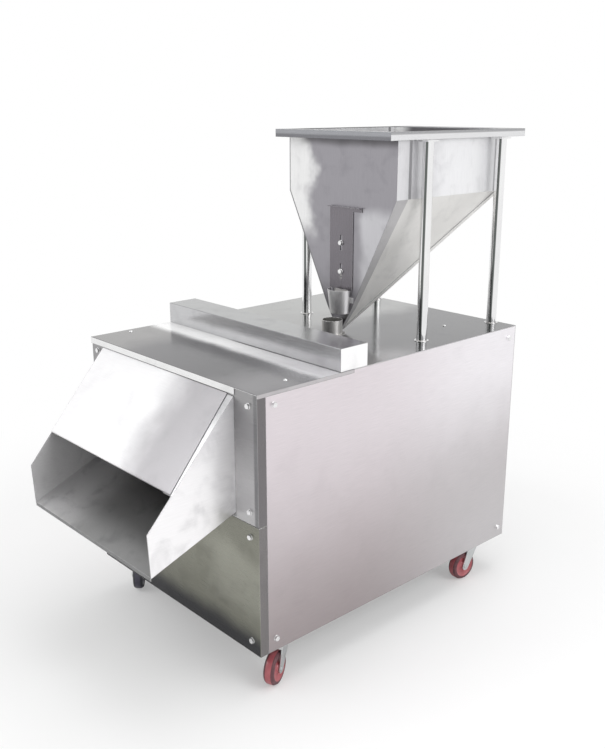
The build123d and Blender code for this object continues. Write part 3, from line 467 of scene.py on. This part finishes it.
# Painted light and shade on the hopper: its front painted dark, lighter at the lower right, with a painted
# white highlight at the upper left and a painted shadow under the rim; painted dark shade lines along its
# left edge, the funnel's left slope and beside the side flanges; its right side painted light, a little
# darker towards the front; the funnel's inner slope painted light, lighter towards the bottom, with a
# painted shade line along its front edge.
hopper_steel = steel_finish(
    "hopper_steel", (0.64, 0.635, 0.63), (0.56, 0.555, 0.55), 0.33, along_z, haze=4.0, edge=0.0022,
    edge_tint=shade_line, stain=0.25, painted_light_patches=[
        painted_light_patch((0.345, 0.335, 0.36), forward),
        painted_light_patch((0.58, 0.575, 0.60), forward, runs=[run(right, 0.125, 0.16, 0.012),
                                                 run(down, 1.18, 1.13, 0.01)]),
        painted_light_patch((0.98, 0.98, 0.98), forward, runs=[run(left, -0.035, -0.085, 0.035), run(up, 1.05, 1.13)],
             matt=0.7),
        painted_light_patch((0.17, 0.165, 0.175), forward, runs=[run(up, 1.325, 1.350, 0.004),
                                                  run(right, -0.13, -0.07)]),
        painted_light_patch(shade_line, forward, runs=[run(left, -0.1490, -0.1502, 0.0)]),
        painted_light_patch(shade_line, forward, runs=[funnel_left_shade_line]),
        painted_light_patch((0.86, 0.86, 0.875), right, matt=0.4),
        painted_light_patch((0.74, 0.735, 0.755), right, runs=[run(forward, 0.36, 0.27)], matt=0.4),
        painted_light_patch((0.40, 0.395, 0.41), right, runs=[run(backward, 0.185, 0.188, 0.0),
                                               run(forward, 0.200, 0.196, 0.0)]),
        painted_light_patch((0.38, 0.375, 0.39), right, runs=[run(backward, 0.560, 0.564, 0.0),
                                               run(forward, 0.575, 0.572, 0.0)]),
        painted_light_patch((0.80, 0.79, 0.77), funnel_side, matt=0.7),
        painted_light_patch((0.92, 0.91, 0.89), funnel_side, runs=[run(down, 1.08, 0.98)], matt=0.7),
        painted_light_patch((0.56, 0.55, 0.56), funnel_side, runs=[funnel_front_shade_line], matt=0.7)])
# Painted light and shade on the rim: its top and front painted dark, darker along the lower front, and its
# right face painted light with a painted dark line along its top.
rim_steel = steel_finish(
    "rim_steel", (0.60, 0.60, 0.605), (0.54, 0.54, 0.545), 0.28, along_x, edge=0.0018,
    edge_tint=shade_line, painted_light_patches=[
        painted_light_patch((0.30, 0.305, 0.31), up), painted_light_patch((0.36, 0.365, 0.385), forward),
        painted_light_patch((0.22, 0.22, 0.235), forward, runs=[run(down, 1.366, 1.360, 0.0)]),
        painted_light_patch((0.80, 0.80, 0.81), right),
        painted_light_patch((0.42, 0.42, 0.43), right, runs=[run(up, 1.366, 1.370, 0.0)])])
gate_steel = steel_finish("gate_steel", (0.23, 0.215, 0.235), (0.185, 0.175, 0.19), 0.30, along_z,
                          edge_tint=(0.62, 0.62, 0.63))
spout_steel = steel_finish("spout_steel", (0.84, 0.83, 0.835), (0.72, 0.715, 0.72), 0.36, along_z, haze=9.0)
feed_tube_steel = steel_finish("feed_tube_steel", (0.68, 0.67, 0.655), (0.56, 0.55, 0.535), 0.32, along_z,
                               haze=9.0)
# Painted reflections on the polished posts: three narrow dark stripes down each post, where the tube
# mirrors darker surroundings.
post_steel = steel_finish(
    "polished_post_steel", (0.90, 0.90, 0.90), (0.84, 0.84, 0.845), 0.12, along_z, grain=0.05,
    edge=0.0008, painted_light_patches=[
        painted_light_patch((0.13, 0.14, 0.135), (0.40, -0.9165, 0.0), narrow),
        painted_light_patch((0.45, 0.46, 0.46), (-0.95, 0.312, 0.0), narrow),
        painted_light_patch((0.30, 0.31, 0.31), (0.55, 0.835, 0.0), narrow)])
frame_steel = steel_finish("frame_tube_steel", (0.60, 0.60, 0.60), (0.52, 0.52, 0.525), 0.38, along_y)
drum_steel = steel_finish("drum_steel", (0.72, 0.73, 0.74), (0.64, 0.65, 0.66), 0.28, along_x, haze=8.0)
ground_steel = steel_finish("ground_shaft_steel", (0.74, 0.75, 0.77), (0.66, 0.67, 0.69), 0.18, along_x,
                            haze=12.0, grain=0.05)
bolt_steel = steel_finish("bolt_steel", (0.90, 0.90, 0.90), (0.80, 0.80, 0.81), 0.20, along_x, haze=60.0,
                          grain=0.04, edge=0.0006)
zinc_plate = smooth_finish("zinc_plate", (0.66, 0.67, 0.68), (0.54, 0.56, 0.56), 0.30, metallic=1.0,
                           edge_tint=(0.82, 0.83, 0.84))
grey_iron = smooth_finish("grey_iron", (0.32, 0.33, 0.34), (0.24, 0.25, 0.26), 0.45, metallic=0.7,
                          speckle=0.5, edge_tint=(0.55, 0.55, 0.56))
motor_enamel = smooth_finish("motor_enamel", (0.13, 0.21, 0.28), (0.10, 0.17, 0.23), 0.32, coat=0.3,
                             edge_tint=(0.30, 0.36, 0.40))
belt_rubber = smooth_finish("belt_rubber", (0.035, 0.035, 0.036), (0.02, 0.02, 0.021), 0.62, speckle=0.6)
wheel_red = smooth_finish("wheel_red", (0.47, 0.12, 0.135), (0.37, 0.085, 0.10), 0.34, haze=60.0, coat=0.25,
                          edge_tint=(0.62, 0.30, 0.32))
# Painted shade: dark blue-grey copies of the red wheel and tread finishes, for the front left wheel, which
# stands in shade.
shaded_wheel = smooth_finish("shaded_wheel", (0.085, 0.08, 0.12), (0.06, 0.058, 0.09), 0.36, haze=60.0,
                           coat=0.25, edge_tint=(0.16, 0.15, 0.20))
tread_dark = smooth_finish("tread_dark", (0.16, 0.055, 0.065), (0.09, 0.035, 0.042), 0.5, haze=80.0,
                           speckle=0.5, edge_tint=(0.24, 0.10, 0.11))
shaded_tread = smooth_finish("shaded_tread", (0.06, 0.062, 0.075), (0.04, 0.042, 0.05), 0.5, haze=80.0,
                            speckle=0.5, edge_tint=(0.12, 0.12, 0.14))

# Each node takes the finish with the longest name that its own name starts with.
finish_of = {
    "side_panel": side_steel, "front_panel_upper": upper_front_steel,
    "front_panel_lower": lower_front_steel, "rear_panel": rear_steel,
    "front_top_cover": front_cover_steel, "rear_top_cover": rear_cover_steel, "bar_cover": bar_steel,
    "hood_plate": hood_steel, "chute_cheek_left": left_cheek_steel,
    "chute_cheek_right": right_cheek_steel, "chute_floor": chute_floor_steel,
    "inner_slide": slide_steel, "hopper_body": hopper_steel, "hopper_rim": rim_steel,
    "hopper_post": post_steel, "feed_tube": feed_tube_steel, "gate_plate": gate_steel,
    "outlet_spout": spout_steel, "frame": frame_steel, "drive_deck": frame_steel,
    "slicing_drum": drum_steel, "drum_lid": drum_steel, "ejector": drum_steel,
    "cutter_disc": drum_steel, "cutter_shaft": ground_steel, "motor_shaft": ground_steel,
    "shaft_bearings": ground_steel, "knives": ground_steel, "disc_nut": ground_steel,
    "bearing_housing": grey_iron, "cutter_pulley": grey_iron, "motor_pulley": grey_iron,
    "motor_body": motor_enamel, "drive_belts": belt_rubber, "hex_bolts": bolt_steel,
    "caster_plates": zinc_plate, "caster_fork": zinc_plate, "caster_wheel": wheel_red,
}
for node_name, node in frame["nodes"].items():
    matches = [start for start in finish_of if node_name.startswith(start)]
    finish = finish_of[max(matches, key=len)]
    for holder in node.material_slots:
        holder.material = finish
    if not node.material_slots:
        node.data.materials.append(finish)


# Pieces made in the scene
def built_mesh(name, build):
    """Mesh that the given function builds, with doubled points merged and its faces turned outward."""
    same_point = 1e-6
    shape = bmesh.new()
    build(shape)
    bmesh.ops.remove_doubles(shape, verts=shape.verts, dist=same_point)
    bmesh.ops.recalc_face_normals(shape, faces=shape.faces)
    mesh = bpy.data.meshes.new(name)
    shape.to_mesh(mesh)
    shape.free()
    return mesh


def mesh_piece(name, body, finishes, build):
    """A piece that the given function builds, with its finishes, riding on a body."""
    mesh = built_mesh(name, build)
    for finish in finishes:
        mesh.materials.append(finish)
    piece = bpy.data.objects.new(name, mesh)
    bpy.context.scene.collection.objects.link(piece)
    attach(piece, body)
    return piece


def turned(shape, profile, centre, axis, steps=48, smooth=True):
    """Turns (radius, distance along the axis, finish number) points round an axis.

    A finish number holds from its own point to the next one.
    """
    way = Vector(axis).normalized()
    side = way.orthogonal().normalized()
    other = way.cross(side)
    rings = []
    for radius, along, _ in profile:
        ring = []
        for k in range(steps):
            angle = 2 * math.pi * k / steps
            spoke = side * math.cos(angle) + other * math.sin(angle)
            ring.append(shape.verts.new(Vector(centre) + way * along + spoke * radius))
        rings.append(ring)
    for low, high, point in zip(rings, rings[1:] + rings[:1], profile):
        for k in range(steps):
            face = shape.faces.new((low[k], low[(k + 1) % steps], high[(k + 1) % steps], high[k]))
            face.material_index = point[2]
            face.smooth = smooth


def turned_up(shape, profile, steps, smooth=True):
    """Turns (radius, height) points round the upright axis through the origin."""
    points = [(radius, height, 0) for radius, height in profile]
    turned(shape, points, (0, 0, 0), up, steps, smooth)


# Caster wheels: moulded disc with a sunk web and a hub, and dark shoulders beside the tread
def wheel_section(radius):
    """Points of a wheel's cross-section, the near face first, then the same mirrored."""
    half_thickness = 0.0148
    bore, hub = 0.0062, 0.013
    web_depth, step_depth = 0.006, 0.002
    flank = [(bore, 0.0), (hub, 0.0), (hub + 0.0015, step_depth), (hub + 0.004, web_depth),
             (radius - 0.017, web_depth), (radius - 0.0125, step_depth)]
    shoulder = [(radius - 0.0105, 0.0005), (radius - 0.004, 0.001), (radius - 0.0012, 0.0045)]
    tread = [(radius, 0.007)]
    disc, dark = 0, 1
    near = [(r, sunk - half_thickness) for r, sunk in flank + shoulder + tread]
    far = [(r, -along) for r, along in reversed(near)]
    numbers = [disc] * len(flank) + [dark] * len(shoulder) + [disc]
    numbers += [dark] * len(shoulder) + [disc] * (len(flank) + 1)
    return [(r, along, number) for (r, along), number in zip(near + far, numbers)]


floor_gap = 0.0003
joint_of = {j["child"]: j for j in frame["joints"]}
corners = [(end, side) for end in ("front", "rear") for side in ("left", "right")]
for end, side in corners:
    body = f"wheel_{end}_{side}"
    joint = joint_of[body]
    centre, way = joint["pos_m"], joint["axis"]
    section = wheel_section(centre[2] - floor_gap)
    # The front left wheel takes the dark copies of the wheel finishes: painted shade on a wheel like the
    # others.
    wheel_in_shade = (end, side) == ("front", "left")
    wheel_finishes = [shaded_wheel, shaded_tread] if wheel_in_shade else [wheel_red, tread_dark]
    wheel = mesh_piece(f"wheel_{end}_{side}", body, wheel_finishes,
                       lambda shape: turned(shape, section, centre, way))
    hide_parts(f"caster_wheel_{end}_{side}")


# Small pieces that a geometry tree repeats
def build_bolt(shape):
    """Hexagon head with a chamfered crown and its washer, standing on the XY plane."""
    washer, washer_top = 0.008, 0.0012
    corner, sides = 0.0075, 6
    turned_up(shape, [(0.0, 0.0), (washer, 0.0), (washer, 0.0010), (0.0077, washer_top),
                      (0.0, washer_top)], steps=24, smooth=False)
    rings = []
    for radius, height in ((corner, washer_top), (corner, 0.0055), (0.0066, 0.0064), (0.0, 0.0065)):
        ring = []
        for k in range(sides):
            angle = math.radians(360 / sides * k)
            ring.append(shape.verts.new((radius * math.cos(angle), radius * math.sin(angle), height)))
        rings.append(ring)
    for low, high in zip(rings, rings[1:]):
        for k in range(sides):
            shape.faces.new((low[k], low[(k + 1) % sides], high[(k + 1) % sides], high[k]))


def build_round_screw(shape):
    """Round head with a small sunk recess, standing on the XY plane."""
    turned_up(shape, [(0.0, 0.0), (0.0055, 0.0), (0.0055, 0.0006), (0.0046, 0.0022),
                      (0.0030, 0.0030), (0.0016, 0.0032), (0.0014, 0.0020), (0.0, 0.0020)], steps=20)


bead_radius = 0.0022


def build_bead(shape):
    """One flattened scale of a weld bead."""
    flatness = 0.55
    bmesh.ops.create_uvsphere(shape, u_segments=10, v_segments=6, radius=bead_radius)
    bmesh.ops.scale(shape, vec=(1.0, 1.0, flatness), verts=shape.verts)
    for face in shape.faces:
        face.smooth = True


def repeat_tree(name):
    """Geometry tree: the given object on every point, standing along the point's own facing.

    Twist is the widest turn, in radians, that a copy is given at random about that facing.
    """
    seed = 7
    tree = bpy.data.node_groups.new(name, "GeometryNodeTree")
    tree.interface.new_socket("Points", in_out="INPUT", socket_type="NodeSocketGeometry")
    tree.interface.new_socket("Piece", in_out="INPUT", socket_type="NodeSocketObject")
    size = tree.interface.new_socket("Size", in_out="INPUT", socket_type="NodeSocketFloat")
    size.default_value = 1.0
    spin = tree.interface.new_socket("Twist", in_out="INPUT", socket_type="NodeSocketFloat")
    spin.default_value = 0.6
    tree.interface.new_socket("Finish", in_out="INPUT", socket_type="NodeSocketMaterial")
    tree.interface.new_socket("Geometry", in_out="OUTPUT", socket_type="NodeSocketGeometry")
    given = tree.nodes.new("NodeGroupInput")
    out = tree.nodes.new("NodeGroupOutput")
    link = tree.links.new
    source = tree.nodes.new("GeometryNodeObjectInfo")
    link(given.outputs["Piece"], source.inputs["Object"])
    facing = tree.nodes.new("GeometryNodeInputNamedAttribute")
    facing.data_type = "FLOAT_VECTOR"
    facing.inputs["Name"].default_value = "facing"
    align = tree.nodes.new("FunctionNodeAlignEulerToVector")
    align.axis = "Z"
    link(facing.outputs["Attribute"], align.inputs["Vector"])
    turn = tree.nodes.new("FunctionNodeRandomValue")
    turn.data_type = "FLOAT_VECTOR"
    turn.inputs["Seed"].default_value = seed
    widest = tree.nodes.new("ShaderNodeCombineXYZ")
    link(given.outputs["Twist"], widest.inputs["Z"])
    link(widest.outputs[0], turn.inputs["Max"])
    turn.inputs["Min"].default_value = (0.0, 0.0, 0.0)
    local = tree.nodes.new("FunctionNodeRotateEuler")
    local.space = "LOCAL"
    link(align.outputs["Rotation"], local.inputs["Rotation"])
    link(turn.outputs["Value"], local.inputs["Rotate By"])
    place = tree.nodes.new("GeometryNodeInstanceOnPoints")
    link(given.outputs["Points"], place.inputs["Points"])
    link(source.outputs["Geometry"], place.inputs["Instance"])
    link(local.outputs["Rotation"], place.inputs["Rotation"])
    link(given.outputs["Size"], place.inputs["Scale"])
    real = tree.nodes.new("GeometryNodeRealizeInstances")
    link(place.outputs["Instances"], real.inputs["Geometry"])
    coat = tree.nodes.new("GeometryNodeSetMaterial")
    link(real.outputs["Geometry"], coat.inputs["Geometry"])
    link(given.outputs["Finish"], coat.inputs["Material"])
    link(coat.outputs["Geometry"], out.inputs["Geometry"])
    return tree


repeat_on_points = repeat_tree("repeat_on_points")


def repeated(name, body, build, places, finish, size=1.0, twist=0.6):
    """Plain mesh of what the function builds, repeated at (place, facing) pairs, riding on a body."""
    model = bpy.data.objects.new(name + "_model", built_mesh(name + "_model", build))
    mesh = bpy.data.meshes.new(name + "_points")
    mesh.from_pydata([tuple(p) for p, _ in places], [], [])
    facing = mesh.attributes.new("facing", "FLOAT_VECTOR", "POINT")
    for k, (_, way) in enumerate(places):
        facing.data[k].vector = way
    holder = bpy.data.objects.new(name + "_points", mesh)
    bpy.context.scene.collection.objects.link(holder)
    bpy.context.scene.collection.objects.link(model)
    modifier = holder.modifiers.new("repeat", "NODES")
    modifier.node_group = repeat_on_points
    sockets = {s.name: s.identifier for s in repeat_on_points.interface.items_tree
               if s.in_out == "INPUT"}
    modifier[sockets["Piece"]] = model
    modifier[sockets["Size"]] = size
    modifier[sockets["Twist"]] = twist
    modifier[sockets["Finish"]] = finish
    bpy.context.view_layer.update()
    evaluated = holder.evaluated_get(bpy.context.evaluated_depsgraph_get())
    plain = bpy.data.meshes.new_from_object(evaluated)
    holder.modifiers.clear()
    bpy.data.objects.remove(holder)
    bpy.data.objects.remove(model)
    plain.name = name
    piece = bpy.data.objects.new(name, plain)
    bpy.context.scene.collection.objects.link(piece)
    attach(piece, body)
    return piece


# Panel bolts near the corners of the side, front and rear panels, and two through the gate
low_corner, high_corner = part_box("side_panel_right")
half_width = high_corner.x
cabinet_bottom = low_corner.z
cabinet_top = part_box("rear_top_cover")[1].z
front_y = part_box("front_panel_lower")[0].y
rear_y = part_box("rear_panel")[1].y
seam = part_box("front_panel_lower")[1].z
sheet = 0.002
gate_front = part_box("gate_plate")[1].y - sheet
gate_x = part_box("gate_plate")[0].x + 0.046
edge_inset = 0.032
front_inset = 0.051
bolts_low, bolts_high = cabinet_bottom + 0.035, cabinet_top - 0.034
bolt_places = []
for side in (-1, 1):
    for y in (front_y + front_inset, rear_y - edge_inset):
        for z in (bolts_low, bolts_high):
            bolt_places.append(((side * half_width, y, z), (side, 0, 0)))
    for z in (bolts_low, seam - 0.032, seam + 0.034, bolts_high):
        bolt_places.append(((side * (half_width - edge_inset), front_y, z), (0, -1, 0)))
    for z in (bolts_low, bolts_high):
        bolt_places.append(((side * (half_width - edge_inset), rear_y, z), (0, 1, 0)))
for height in (0.178, 0.260):
    bolt_places.append(((gate_x, gate_front, cabinet_top + height), (0, -1, 0)))
bolts = repeated("panel_bolts", "cabinet", build_bolt, bolt_places, bolt_steel)
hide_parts("hex_bolts")

# Round-headed screws: two in the front cover, two at the rear of the rear cover
front_screws = [(-0.346, 0.115), (0.326, 0.126)]
rear_screws = [(0.228, 0.847), (-0.228, 0.847)]
screw_places = [((x, front_y + y, cabinet_top), up) for x, y in front_screws + rear_screws]
repeated("cover_screws", "cabinet", build_round_screw, screw_places, bolt_steel)

# Weld beads: overlapping scales round the feet of the hopper posts
post_boxes = [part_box(f"hopper_post_{end}_{side}") for end, side in corners]
weld_steel = steel_finish("weld_steel", (0.62, 0.60, 0.58), (0.48, 0.46, 0.45), 0.34, along_x, haze=90.0,
                          grain=0.05)
post_inset = 0.020
bead_ring, bead_count = 0.0153, 44
weld_places = []
for (end, side), (low, high) in zip(corners, post_boxes):
    centre_x = low.x + post_inset if side == "left" else high.x - post_inset
    centre_y = (low.y + high.y) / 2
    for k in range(bead_count):
        angle = 2 * math.pi * k / bead_count
        spoke_x, spoke_y = math.cos(angle), math.sin(angle)
        weld_places.append(((centre_x + bead_ring * spoke_x, centre_y + bead_ring * spoke_y,
                             cabinet_top + bead_radius), (spoke_x, spoke_y, 1.0)))
repeated("weld_beads", "cabinet", build_bead, weld_places, weld_steel, size=0.8, twist=3.0)


# Floor, backdrop, lamps and camera
def pale_floor():
    """Wide plain floor: keeps the machine's soft shadow and fades to the white backdrop."""
    reach = 40.0
    fade_start, fade_end = 0.75, 1.9
    shadow_lift = 0.30
    mesh = bpy.data.meshes.new("floor")
    mesh.from_pydata([(-reach, -reach, 0), (reach, -reach, 0), (reach, reach, 0), (-reach, reach, 0)],
                     [], [(0, 1, 2, 3)])
    floor = bpy.data.objects.new("floor", mesh)
    bpy.context.scene.collection.objects.link(floor)
    finish = bpy.data.materials.new("pale_floor")
    finish.use_nodes = True
    tree = finish.node_tree
    tree.nodes.clear()
    out = tree.nodes.new("ShaderNodeOutputMaterial")
    place = tree.nodes.new("ShaderNodeTexCoord").outputs["Object"]
    far = remap(tree, vector_math(tree, "LENGTH", place)["Value"], fade_start, fade_end)
    path = tree.nodes.new("ShaderNodeLightPath").outputs
    seen = math_node(tree, "MAXIMUM", path["Is Camera Ray"], path["Is Glossy Ray"])
    seen = math_node(tree, "MAXIMUM", seen, path["Is Transmission Ray"])
    matt = tree.nodes.new("ShaderNodeBsdfDiffuse")
    matt.inputs["Color"].default_value = (0.90, 0.90, 0.90, 1)
    white = tree.nodes.new("ShaderNodeEmission")
    white.inputs["Color"].default_value = (1, 1, 1, 1)
    white.inputs["Strength"].default_value = 1.0
    lift = math_node(tree, "MULTIPLY", path["Is Camera Ray"], shadow_lift)
    blend = math_node(tree, "MAXIMUM", math_node(tree, "MULTIPLY", far, seen), lift)
    mix = tree.nodes.new("ShaderNodeMixShader")
    tree.links.new(blend, mix.inputs[0])
    tree.links.new(matt.outputs[0], mix.inputs[1])
    tree.links.new(white.outputs[0], mix.inputs[2])
    tree.links.new(mix.outputs[0], out.inputs["Surface"])
    mesh.materials.append(finish)


def white_studio():
    """White backdrop for the camera, a dimmer room for the light, darker overhead in reflections."""
    room_light, overhead = 0.62, 0.55
    world = bpy.data.worlds.new("studio")
    bpy.context.scene.world = world
    world.use_nodes = True
    tree = world.node_tree
    tree.nodes.clear()
    out = tree.nodes.new("ShaderNodeOutputWorld")
    path = tree.nodes.new("ShaderNodeLightPath").outputs
    seen = math_node(tree, "MAXIMUM", path["Is Camera Ray"], path["Is Transmission Ray"])
    height = tree.nodes.new("ShaderNodeSeparateXYZ")
    tree.links.new(tree.nodes.new("ShaderNodeTexCoord").outputs["Generated"], height.inputs[0])
    ceiling = remap(tree, height.outputs["Z"], 0.05, 0.75, 1.0, overhead)
    mirrored = math_node(tree, "MULTIPLY", path["Is Glossy Ray"], ceiling)
    scattered = math_node(tree, "SUBTRACT", 1.0, path["Is Glossy Ray"])
    scattered = math_node(tree, "MULTIPLY", scattered, room_light)
    strength = math_node(tree, "ADD", mirrored, scattered)
    strength = math_node(tree, "MAXIMUM", strength, seen)
    backdrop = tree.nodes.new("ShaderNodeBackground")
    backdrop.inputs["Color"].default_value = (1, 1, 1, 1)
    tree.links.new(strength, backdrop.inputs["Strength"])
    tree.links.new(backdrop.outputs[0], out.inputs["Surface"])


def softbox(name, place, aim, size):
    """Square area lamp at one place, aimed at another."""
    power = 60.0
    lamp = bpy.data.lights.new(name, "AREA")
    lamp.shape = "RECTANGLE"
    lamp.size = size
    lamp.size_y = size
    lamp.energy = power
    holder = bpy.data.objects.new(name, lamp)
    holder.location = place
    holder.rotation_euler = (Vector(aim) - Vector(place)).to_track_quat("-Z", "Y").to_euler()
    bpy.context.scene.collection.objects.link(holder)


pale_floor()
white_studio()
softbox("key_softbox", place=(-2.2, -3.4, 3.6), aim=(0.0, 0.0, 0.6), size=2.6)
softbox("side_softbox", place=(3.6, 0.8, 2.8), aim=(0.2, 0.1, 0.7), size=2.4)
softbox("top_softbox", place=(0.2, 0.6, 4.2), aim=(0.0, 0.1, 0.8), size=3.0)

lens = bpy.data.cameras.new("camera")
lens.sensor_width = 36.0
lens.lens = 43.44
lens.shift_x = -0.0058
lens.shift_y = -0.0063
lens.dof.use_dof = False
camera = bpy.data.objects.new("camera", lens)
camera.location = (1.8945, -1.6747, 1.4424)
camera.rotation_euler = (math.radians(73.65), 0.0, math.radians(47.41))
bpy.context.scene.collection.objects.link(camera)
bpy.context.scene.camera = camera
bpy.context.scene.view_settings.view_transform = "Standard"
